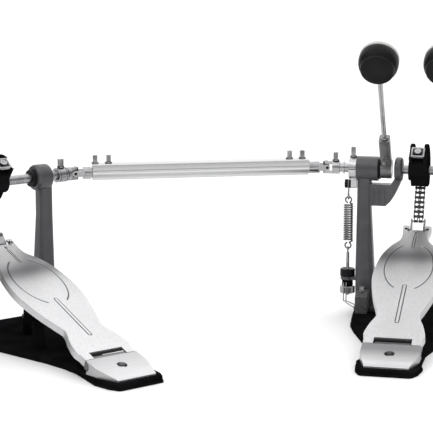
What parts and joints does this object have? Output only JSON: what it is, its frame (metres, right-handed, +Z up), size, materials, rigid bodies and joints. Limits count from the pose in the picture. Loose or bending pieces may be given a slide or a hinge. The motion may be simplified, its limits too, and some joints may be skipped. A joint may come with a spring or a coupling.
{
  "type": "double bass drum pedal",
  "caption": "Double bass drum pedal: chain-driven main and slave pedals joined by a telescoping shaft with universal joints, swinging round-headed beaters at the drum.",
  "frame": {"origin": "on the floor under the middle of the main axle, on the centre plane of the main footboard", "axes": "+X along the main axle to the player's right, +Y towards the drum, +Z up"},
  "size_m": [0.6775, 0.4967, 0.3652],
  "materials": {
    "black_coat": "satin black powder coat",
    "rubber": "matte",
    "board_aluminium": "fine brushed, satin",
    "cast_grey": "satin dark grey paint on casting",
    "black_plastic": "satin moulded",
    "felt": "pressed felt",
    "tube_aluminium": "satin anodised",
    "chain_steel": "dark oiled steel",
    "spring_steel": "zinc plated wire",
    "holder_metal": "satin cast metal",
    "chrome": "polished plating"
  },
  "bodies": {
    "main_frame": {"main_base_plate": "black_coat", "main_base_pad": "rubber", "main_heel_block": "board_aluminium", "main_heel_fasteners": "chrome", "main_left_post": "cast_grey", "main_right_post": "cast_grey", "main_spur_blocks": "cast_grey", "main_frame_bolts": "chrome", "main_bearings": "black_plastic", "spring_rods": "chrome", "spring_bushes": "rubber", "spring_stays": "chrome", "hoop_clamp_base": "cast_grey"},
    "hoop_jaw": {"hoop_jaw": "cast_grey", "hoop_bolt": "chrome"},
    "main_footboard": {"main_footboard": "board_aluminium", "main_toe_hook": "chrome"},
    "main_axle": {"main_axle_shaft": "chrome", "main_cam": "black_coat", "main_cam_plate": "chrome", "main_chain_wrap": "chain_steel", "main_crank": "chrome", "main_beater_holder": "holder_metal"},
    "main_chain": {"main_chain_run": "chain_steel"},
    "main_beater": {"main_beater_rod": "chrome", "main_beater_head": "black_plastic", "main_beater_felt": "felt"},
    "main_spring_body": {"main_spring": "spring_steel"},
    "main_spring_top": {"main_spring_hook": "chrome"},
    "left_axle": {"left_axle_shaft": "chrome", "left_crank": "chrome", "left_beater_holder": "holder_metal"},
    "left_beater": {"left_beater_rod": "chrome", "left_beater_head": "black_plastic", "left_beater_felt": "felt"},
    "left_spring_body": {"left_spring": "spring_steel"},
    "left_spring_top": {"left_spring_hook": "chrome"},
    "drive_tube": {"drive_tube": "tube_aluminium", "drive_tube_fittings": "chrome"},
    "main_cross": {"main_joint_cross": "chrome"},
    "slave_frame": {"slave_base_plate": "black_coat", "slave_base_pad": "rubber", "slave_heel_block": "board_aluminium", "slave_heel_fasteners": "chrome", "slave_posts": "cast_grey", "slave_bearings": "black_plastic", "slave_spring_rod": "chrome", "slave_strut": "cast_grey"},
    "drive_rod": {"drive_rod": "chrome"},
    "slave_cross": {"slave_joint_cross": "chrome"},
    "slave_footboard": {"slave_footboard": "board_aluminium", "slave_toe_hook": "chrome"},
    "slave_axle": {"slave_axle_shaft": "chrome", "slave_cam": "black_coat", "slave_cam_plate": "chrome", "slave_chain_wrap": "chain_steel", "slave_crank": "chrome"},
    "slave_chain": {"slave_chain_run": "chain_steel"},
    "slave_spring_body": {"slave_spring": "spring_steel"},
    "slave_spring_top": {"slave_spring_hook": "chrome"}
  },
  "joints": [
    {"name": "main_footboard_press", "type": "hinge", "parent": "main_frame", "child": "main_footboard", "pos_m": [0, -0.25, 0.0165], "axis": [-1, 0, 0], "range_deg": [0, 5.47], "stiffness_Nm_per_rad": 8, "springref_deg": -17.19},
    {"name": "main_axle_turn", "type": "hinge", "parent": "main_frame", "child": "main_axle", "pos_m": [0, 0, 0.1917], "axis": [-1, 0, 0], "range_deg": [0, 45.4]},
    {"name": "main_chain_swing", "type": "hinge", "parent": "main_footboard", "child": "main_chain", "pos_m": [0, 0.002, 0.124], "axis": [-1, 0, 0], "range_deg": [-17.64, 0]},
    {"name": "main_beater_height", "type": "slide", "parent": "main_axle", "child": "main_beater", "axis": [0, -0.5446, 0.8387], "range_m": [-0.003, 0.02]},
    {"name": "main_spring_swing", "type": "hinge", "parent": "main_frame", "child": "main_spring_body", "pos_m": [0.0915, 0, 0.0836], "axis": [1, 0, 0], "range_deg": [0, 9.35]},
    {"name": "main_spring_stretch", "type": "slide", "parent": "main_spring_body", "child": "main_spring_top", "axis": [0, 0, 1], "range_m": [0, 0.00763], "deforming": ["main_spring"]},
    {"name": "hoop_jaw_close", "type": "hinge", "parent": "main_frame", "child": "hoop_jaw", "pos_m": [0, 0.03, 0.024], "axis": [-1, 0, 0], "range_deg": [0, 6]},
    {"name": "left_axle_turn", "type": "hinge", "parent": "main_frame", "child": "left_axle", "pos_m": [-0.042, 0, 0.1917], "axis": [-1, 0, 0], "range_deg": [0, 43.87]},
    {"name": "left_beater_height", "type": "slide", "parent": "left_axle", "child": "left_beater", "axis": [0, -0.5446, 0.8387], "range_m": [-0.003, 0.02]},
    {"name": "left_spring_swing", "type": "hinge", "parent": "main_frame", "child": "left_spring_body", "pos_m": [-0.0915, 0, 0.0836], "axis": [1, 0, 0], "range_deg": [0, 9.14]},
    {"name": "left_spring_stretch", "type": "slide", "parent": "left_spring_body", "child": "left_spring_top", "axis": [0, 0, 1], "range_m": [0, 0.00718], "deforming": ["left_spring"]},
    {"name": "drive_tube_turn", "type": "hinge", "parent": "main_frame", "child": "drive_tube", "pos_m": [-0.1219, 0, 0.1917], "axis": [-0.9259, -0.3778, 0], "range_deg": [0, 41.67]},
    {"name": "main_cross_rock", "type": "hinge", "parent": "drive_tube", "child": "main_cross", "pos_m": [-0.1219, 0, 0.1917], "axis": [0.3778, -0.9259, 0], "range_deg": [-15.37, 0]},
    {"name": "slave_reach", "type": "slide", "parent": "main_frame", "child": "slave_frame", "axis": [-0.9259, -0.3778, 0], "range_m": [0, 0.06]},
    {"name": "drive_rod_turn", "type": "hinge", "parent": "slave_frame", "child": "drive_rod", "pos_m": [-0.42522, -0.12378, 0.1917], "axis": [-0.9259, -0.3778, 0], "range_deg": [0, 41.67]},
    {"name": "slave_cross_rock", "type": "hinge", "parent": "drive_rod", "child": "slave_cross", "pos_m": [-0.42522, -0.12378, 0.1917], "axis": [0.3778, -0.9259, 0], "range_deg": [0, 20.12]},
    {"name": "slave_footboard_press", "type": "hinge", "parent": "slave_frame", "child": "slave_footboard", "pos_m": [-0.30611, -0.37344, 0.0165], "axis": [-0.6314, -0.7755, 0], "range_deg": [0, 5.47], "stiffness_Nm_per_rad": 8, "springref_deg": -17.19},
    {"name": "slave_axle_turn", "type": "hinge", "parent": "slave_frame", "child": "slave_axle", "pos_m": [-0.49998, -0.2156, 0.1917], "axis": [-0.6314, -0.7755, 0], "range_deg": [0, 45.4]},
    {"name": "slave_chain_swing", "type": "hinge", "parent": "slave_footboard", "child": "slave_chain", "pos_m": [-0.50153, -0.21434, 0.124], "axis": [-0.6314, -0.7755, 0], "range_deg": [-17.64, 0]},
    {"name": "slave_spring_swing", "type": "hinge", "parent": "slave_frame", "child": "slave_spring_body", "pos_m": [-0.55775, -0.28656, 0.0836], "axis": [0.6314, 0.7755, 0], "range_deg": [0, 9.35]},
    {"name": "slave_spring_stretch", "type": "slide", "parent": "slave_spring_body", "child": "slave_spring_top", "axis": [0, 0, 1], "range_m": [0, 0.00763], "deforming": ["slave_spring"]}
  ],
  "couplings": [
    {"joint": "main_axle_turn", "follows": "main_footboard_press", "ratio": 8.2267},
    {"joint": "main_chain_swing", "follows": "main_footboard_press", "ratio": -3.1508},
    {"joint": "main_spring_swing", "follows": "main_footboard_press", "ratio": 1.6541},
    {"joint": "main_spring_stretch", "follows": "main_footboard_press", "m_per_rad": 0.076733},
    {"joint": "left_axle_turn", "follows": "slave_footboard_press", "ratio": 7.9462},
    {"joint": "left_spring_swing", "follows": "slave_footboard_press", "ratio": 1.6166},
    {"joint": "left_spring_stretch", "follows": "slave_footboard_press", "m_per_rad": 0.072018},
    {"joint": "drive_tube_turn", "follows": "slave_footboard_press", "ratio": 7.5446},
    {"joint": "main_cross_rock", "follows": "slave_footboard_press", "ratio": -2.7542},
    {"joint": "drive_rod_turn", "follows": "slave_footboard_press", "ratio": 7.5446},
    {"joint": "slave_cross_rock", "follows": "slave_footboard_press", "ratio": 3.623},
    {"joint": "slave_axle_turn", "follows": "slave_footboard_press", "ratio": 8.2267},
    {"joint": "slave_chain_swing", "follows": "slave_footboard_press", "ratio": -3.1508},
    {"joint": "slave_spring_swing", "follows": "slave_footboard_press", "ratio": 1.6541},
    {"joint": "slave_spring_stretch", "follows": "slave_footboard_press", "m_per_rad": 0.076733}
  ]
}
